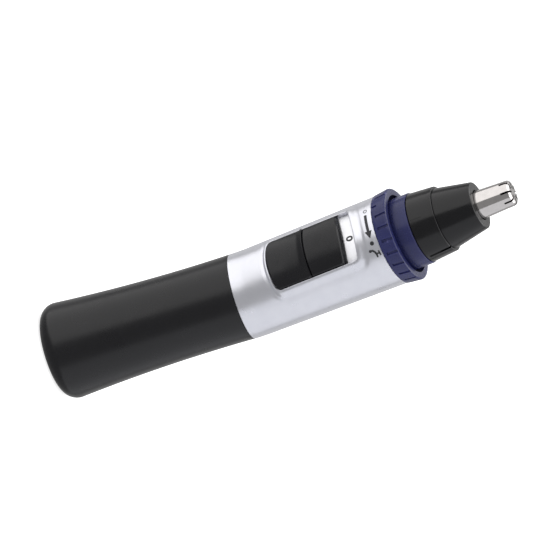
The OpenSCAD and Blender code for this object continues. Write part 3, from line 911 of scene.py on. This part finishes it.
tube_low, tube_high, tube_flange_r = head_span("outer_blade")
tube_wall = 0.35
tube_flange = 0.7
tube_base_r = 3.85
tube_out_h = 58.6
tip_r = 3.25
tip_round = 0.8
slit_count = 8
slit_half_w = 0.25
slit_root_h = tube_high - 2.3
slit_hub_r = 1.1
slit_angle = 18.0
narrowest_slit_r = 0.6
hub_inner_r = 0.5
tube_rows = 10
slit_rows = 6
tip_rows = 8
end_rows = 4
tooth_steps = 12
slit_columns = 2
far_below_root = 0.25
near_below_root = 0.1
bore_margin = 0.2
bore_facing = 0.2
tip_share = 0.5


def tube_sides():
    """(r, h) rows up the tube and over its end, and the numbers of the slits' first and last rows."""
    round_h = tube_high - tip_round
    slope = (tip_r - tube_base_r) / (round_h - tube_low)
    sides = [(tube_flange_r, tube_low), (tube_flange_r, tube_low + tube_flange)]
    heights = [tube_low + tube_flange] + spread(tube_out_h, slit_root_h - far_below_root, tube_rows)
    heights += [slit_root_h - near_below_root, slit_root_h]
    slit_row = len(sides) + len(heights) - 1
    heights += spread(slit_root_h, round_h, slit_rows)[1:]
    sides += [(tube_base_r + slope * (h - tube_low), h) for h in heights]
    for angle in spread(0, 90, tip_rows)[1:]:
        a = math.radians(angle)
        sides.append((tip_r - tip_round * (1 - math.cos(a)), round_h + tip_round * math.sin(a)))
    sides += [(r, tube_high) for r in spread(tip_r - tip_round, slit_hub_r, end_rows)[1:]]
    hub_row = len(sides) - 1
    sides += [(hub_inner_r, tube_high), (0, tube_high)]

    inner = []
    for r, h in sides:
        on_end = r <= tip_r - tip_round and h >= tube_high - 1e-6
        side_r = tube_base_r + slope * (min(h, round_h) - tube_low)
        inner.append((r if on_end else min(r, side_r) - tube_wall, min(h, tube_high - tube_wall)))
    return sides, inner, slit_row, hub_row


def slit_column_angle(j, r):
    """Angle of column j at radius r: each sector has a tooth's columns and then a slit's."""
    sector = 360 / slit_count
    k, i = divmod(j, tooth_steps + slit_columns)
    half_slit = math.degrees(math.asin(slit_half_w / max(r, narrowest_slit_r)))
    start = slit_angle + k * sector + half_slit
    tooth = sector - 2 * half_slit
    if i <= tooth_steps:
        return start + tooth * i / tooth_steps
    return start + tooth + 2 * half_slit * (i - tooth_steps) / slit_columns


def make_blade():
    """The tube's outer and inner skins, joined along the rows and columns where the slits leave gaps."""
    sides, inner, slit_row, hub_row = tube_sides()
    per_sector = tooth_steps + slit_columns
    count = per_sector * slit_count
    last = len(sides) - 1
    bm = bmesh.new()

    def make_rows(outline):
        out = []
        for (r, h), (angle_r, _) in zip(outline, sides):
            if r < ON_AXIS:
                out.append([bm.verts.new(on_head(0, 0, h))] * count)
            else:
                out.append([bm.verts.new(on_head(r, slit_column_angle(j, angle_r), h)) for j in range(count)])
        return out

    def present(i, j):
        in_slit = j % per_sector >= tooth_steps
        return 0 <= i < last and not (in_slit and slit_row <= i < hub_row)

    skins = [make_rows(sides), make_rows(inner)]
    for i in range(last):
        for j in range(count):
            if not present(i, j):
                continue
            k = (j + 1) % count
            for skin in skins:
                add_face(bm, [skin[i][j], skin[i][k], skin[i + 1][k], skin[i + 1][j]])
            next_row = present(i + 1, j) or i == last - 1
            borders = ((present(i - 1, j), i, j, i, k), (next_row, i + 1, j, i + 1, k),
                       (present(i, (j - 1) % count), i, j, i + 1, j), (present(i, k), i, k, i + 1, k))
            for joined, a, b, c, d in borders:
                if not joined:
                    add_face(bm, [skins[0][a][b], skins[0][c][d], skins[1][c][d], skins[1][a][b]])
    blade = piece("blade_tube", bm, looks["blade_steel"], sharp=38)
    paint_bore_shade(blade)
    stands_for(blade, "blade_block", "blade_steel", "outer_blade")


def paint_bore_shade(blade):
    """Painted shade: near-black steel on the faces that look inwards or along the slits, inside the tube."""
    round_h = tube_high - tip_round
    blade.data.materials.append(bore_shade_steel)
    for face in blade.data.polygons:
        place = face.center / MM - head_origin
        h = place.dot(head_up)
        outward = (place - head_up * h).normalized() * (1 if h < round_h else tip_share)
        facing = face.normal.dot(outward) + (face.normal.dot(head_up) if h > round_h else 0)
        if h > tube_low + tube_flange + bore_margin and facing < bore_facing:
            face.material_index = 1


# ---- printed marks ----

mark_h = 37.0
circle_angle = -22
circle_r = 0.44
circle_line = 0.22
arrow_angles = (-15.5, 7.5, 17)
arrow_line = 0.72
arrow_head = 1.9
arrow_tip = 0.03
dot_angle = 23.5
dot_r = 0.52
tap_angle = 37
zero_u = 0.9
zero_h = 31.5
zero_half_w = 0.47
zero_half_h = 0.7
zero_line = 0.42
oval_steps = 24
disc_steps = 12
ink_lift = 0.012
ink_sunk = 0.03
ink_step = 0.2
finest_ink = 0.02

# Round a strip of ink: share of its half width, and height over the surface.
ink_section = [(share, ink_lift) for share in (-1, 0, 1)] + [(share, -ink_sunk) for share in (1, 0, -1)]


def ribbon(bm, surface_r, points, widths):
    """A thin closed strip of ink along (u, h) points: u runs round the surface in millimetres."""
    path = []
    for (p, q), (w0, w1) in zip(zip(points, points[1:]), zip(widths, widths[1:])):
        steps = max(1, math.ceil(math.dist(p, q) / ink_step))
        for t in spread(0, 1, steps)[:-1]:
            path.append((Vector(p).lerp(Vector(q), t), w0 + (w1 - w0) * t))
    path.append((Vector(points[-1]), widths[-1]))
    closed = (path[0][0] - path[-1][0]).length < 1e-6
    if closed:
        path.pop()
    count = len(path)
    rows = []
    for i, (place, width) in enumerate(path):
        before = path[(i - 1) % count][0] if closed or i else place
        after = path[(i + 1) % count][0] if closed or i < count - 1 else place
        along = (after - before).normalized()
        across = Vector((-along.y, along.x)) * max(width, finest_ink) / 2
        row = []
        for share, lift in ink_section:
            u, h = place + across * share
            r = surface_r(h)
            row.append(bm.verts.new(on_head(r + lift, math.degrees(u / r), h)))
        rows.append(row)
    for first, second in zip(rows, rows[1:]):
        add_strip(bm, first, second)
    if closed:
        add_strip(bm, rows[-1], rows[0])
    else:
        add_face(bm, rows[0])
        add_face(bm, rows[-1])


def oval(bm, surface_r, u, h, half_u, half_h, width):
    """A closed oval line."""
    turns = [2 * math.pi * i / oval_steps for i in range(oval_steps)] + [0]
    points = [(u + half_u * math.sin(t), h + half_h * math.cos(t)) for t in turns]
    ribbon(bm, surface_r, points, [width] * len(points))


def disc(bm, surface_r, u, h, r):
    """A filled disc, as one strip whose width follows the circle."""
    shares = [math.cos(math.pi * i / disc_steps) for i in range(disc_steps + 1)]
    points = [(u + r * share, h) for share in shares]
    ribbon(bm, surface_r, points, [2 * r * math.sqrt(max(1 - share ** 2, 0)) for share in shares])


def around_to_u(angle):
    return math.radians(angle) * housing_r(mark_h)


def draw_circle(bm):
    oval(bm, housing_r, around_to_u(circle_angle), mark_h, circle_r, circle_r, circle_line)


def draw_arrow(bm):
    tail, neck, point = (around_to_u(angle) for angle in arrow_angles)
    ribbon(bm, housing_r, [(tail, mark_h), (neck, mark_h)], [arrow_line, arrow_line])
    ribbon(bm, housing_r, [(neck, mark_h), (point, mark_h)], [arrow_head, arrow_tip])


def draw_dot(bm):
    disc(bm, housing_r, around_to_u(dot_angle), mark_h, dot_r)


def draw_tap(bm):
    """A small generic tap: a drop, a curved spout and a handle."""
    u = around_to_u(tap_angle)
    disc(bm, housing_r, u - 1.0, mark_h - 1.15, 0.36)
    spout = [(u - 1.0, mark_h - 0.95), (u - 0.95, mark_h - 0.5), (u - 0.45, mark_h - 0.1)]
    spout += [(u + 0.2, mark_h + 0.1), (u + 1.0, mark_h + 0.05)]
    ribbon(bm, housing_r, spout, [0.42, 0.48, 0.5, 0.5, 0.4])
    ribbon(bm, housing_r, [(u - 0.55, mark_h + 0.85), (u + 0.75, mark_h + 1.0)], [0.4, 0.4])
    ribbon(bm, housing_r, [(u + 0.05, mark_h + 0.1), (u + 0.1, mark_h + 0.9)], [0.38, 0.38])


def draw_zero(bm):
    inset_r = head_span("switch_inset")[2]
    oval(bm, lambda h: inset_r, zero_u, zero_h, zero_half_w, zero_half_h, zero_line)


def make_marks():
    for name, material, draw in (
            ("mark_circle", grey_ink, draw_circle), ("mark_arrow", ink, draw_arrow),
            ("mark_dot", ink, draw_dot), ("mark_tap", ink, draw_tap), ("mark_zero", ink, draw_zero)):
        bm = bmesh.new()
        draw(bm)
        stands_for(piece(name, bm, material), "housing", "button_black")


# ---- CAD pieces that stay ----

node_slots = {
    "cover_seal": "seal_rubber", "battery_cradle": "inner_plastic", "battery_cell": "cell_jacket",
    "battery_cap": "cell_can", "positive_contact": "contact_brass", "negative_spring": "spring_steel",
    "negative_strip": "contact_brass", "switch_inset": "inset_white", "switch_gasket": "seal_rubber",
    "supply_contact": "contact_brass", "motor_contact": "contact_brass", "detent_leaf": "spring_steel",
    "motor_holder": "inner_plastic", "motor_can": "motor_steel", "motor_magnets": "magnet_ferrite",
    "motor_end_cap": "inner_white", "motor_bushes": "contact_brass", "motor_brushes": "winding_copper",
    "motor_terminals": "contact_brass", "motor_screws": "spring_steel", "head_mount": "inner_plastic",
    "head_mount_screws": "spring_steel", "shaft_seal": "seal_rubber", "ring_seals": "seal_rubber",
    "ring_retainer": "spring_steel", "ring_detent_ball": "spring_steel",
    "ring_detent_spring": "spring_steel", "switch_carrier": "inner_plastic",
    "moving_contact": "winding_copper", "motor_shaft": "spring_steel", "rotor_core": "motor_steel",
    "rotor_windings": "winding_copper", "commutator": "winding_copper", "drive_coupling": "inner_white",
    "shaft_bearing": "contact_brass", "blade_retainer": "inner_white", "inner_blade": "blade_steel",
    "blade_shaft": "inner_white", "blade_spring": "spring_steel",
}


def dress_cad_nodes():
    for node, slot in node_slots.items():
        obj = nodes[node]
        if not obj.material_slots:
            raise ValueError(f"{node} has no material slot")
        for material_slot in obj.material_slots:
            # The inner blade takes the near-black steel: painted shade behind the slits.
            material_slot.material = bore_shade_steel if node == "inner_blade" else looks[slot]


# ---- camera, light and floor ----

camera_azimuth = 26.5
camera_elevation = 10.9
camera_roll = 72.93
camera_distance = 1131.7
camera_aim = Vector((-3.19, 0.35, 59.38))
camera_lens = 300
camera_sensor = 36

# From here on, lengths of the studio are in metres.
studio_middle = Vector((0, 0, 0.2))
box_distance = 0.8
box_height = 1.5
# Name, angle from the camera's side of the object, width, watts, colour.
tall_boxes = (
    ("key_softbox", -70, 1.75, 8.4, (1.0, 0.99, 0.98)),
    ("fill_softbox", 80, 1.6, 4.1, (0.94, 0.955, 1.0)),
    ("rear_softbox", 180, 1.6, 2.0, (1.0, 1.0, 1.0)),
)
top_box_place = (0, 0.3, 2.4)
top_box_aim = (0, 0.3, 0)
top_box_size = 5
top_box_watts = 165
world_light = 0.3
floor_reach = 12
floor_cells = 24


def direction(azimuth, elevation):
    """Unit vector from the object towards an azimuth, counted from -Y towards +X, and elevation."""
    a, e = math.radians(azimuth), math.radians(elevation)
    return Vector((math.sin(a) * math.cos(e), -math.cos(a) * math.cos(e), math.sin(e)))


def make_camera():
    data = bpy.data.cameras.new("camera")
    data.lens = camera_lens
    data.sensor_width = camera_sensor
    data.clip_start = 0.01
    data.clip_end = 100
    camera = bpy.data.objects.new("camera", data)
    back = direction(camera_azimuth, camera_elevation)
    turn = (-back).to_track_quat("-Z", "Y").to_matrix() @ Matrix.Rotation(math.radians(camera_roll), 3, "Z")
    camera.matrix_world = Matrix.Translation((camera_aim + back * camera_distance) * MM) @ turn.to_4x4()
    bpy.context.scene.collection.objects.link(camera)
    bpy.context.scene.camera = camera


def make_softbox(name, place, aim, width, height, power, colour=(1, 1, 1)):
    """A rectangular light, in metres and watts, whose height runs up."""
    data = bpy.data.lights.new(name, "AREA")
    data.shape = "RECTANGLE"
    data.size = width
    data.size_y = height
    data.energy = power
    data.color = colour
    light = bpy.data.objects.new(name, data)
    light.location = place
    light.rotation_mode = "QUATERNION"
    light.rotation_quaternion = (Vector(aim) - Vector(place)).to_track_quat("-Z", "Y")
    light.visible_camera = False
    bpy.context.scene.collection.objects.link(light)


def make_lights():
    """Tall softboxes at both sides of the object and behind it, and a broad one overhead."""
    for name, swing, width, power, colour in tall_boxes:
        place = studio_middle + direction(camera_azimuth + swing, 0) * box_distance
        make_softbox(name, place, studio_middle, width, box_height, power, colour)
    make_softbox("top_softbox", top_box_place, top_box_aim, top_box_size, top_box_size, top_box_watts)


def make_world():
    """White where the background is seen, and dimmer as a light."""
    world = bpy.data.worlds.new("studio")
    world.use_nodes = True
    tree = world.node_tree
    background = tree.nodes["Background"]
    background.inputs["Color"].default_value = (1, 1, 1, 1)
    path = tree.nodes.new("ShaderNodeLightPath")
    strength = tree.nodes.new("ShaderNodeMapRange")
    set_inputs(strength, {"To Min": world_light, "To Max": 1.0})
    tree.links.new(path.outputs["Is Camera Ray"], strength.inputs["Value"])
    tree.links.new(strength.outputs["Result"], background.inputs["Strength"])
    bpy.context.scene.world = world


def make_floor():
    """A pale floor that isn't mirrored in the object, and goes down with the cover that stands on it."""
    bm = bmesh.new()
    bmesh.ops.create_grid(bm, x_segments=floor_cells, y_segments=floor_cells, size=floor_reach)
    look = Look("floor_paper", **{"Emission Color": (1, 1, 1, 1), "Emission Strength": 0.8})
    look.vary_colour((0.50, 0.50, 0.50), (0.52, 0.52, 0.52), 30)
    look.vary_roughness(0.85, 0.95, 20)
    floor = piece("floor", bm, look.material)
    floor.visible_glossy = False
    floor.visible_shadow = False
    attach(floor, "battery_cover")


bpy.context.scene.view_settings.view_transform = "Standard"

make_camera()
make_lights()
make_world()
make_floor()
make_battery_cover()
make_housing()
make_button()
make_ring()
make_head_base()
make_nose_cone()
make_blade()
make_marks()
dress_cad_nodes()
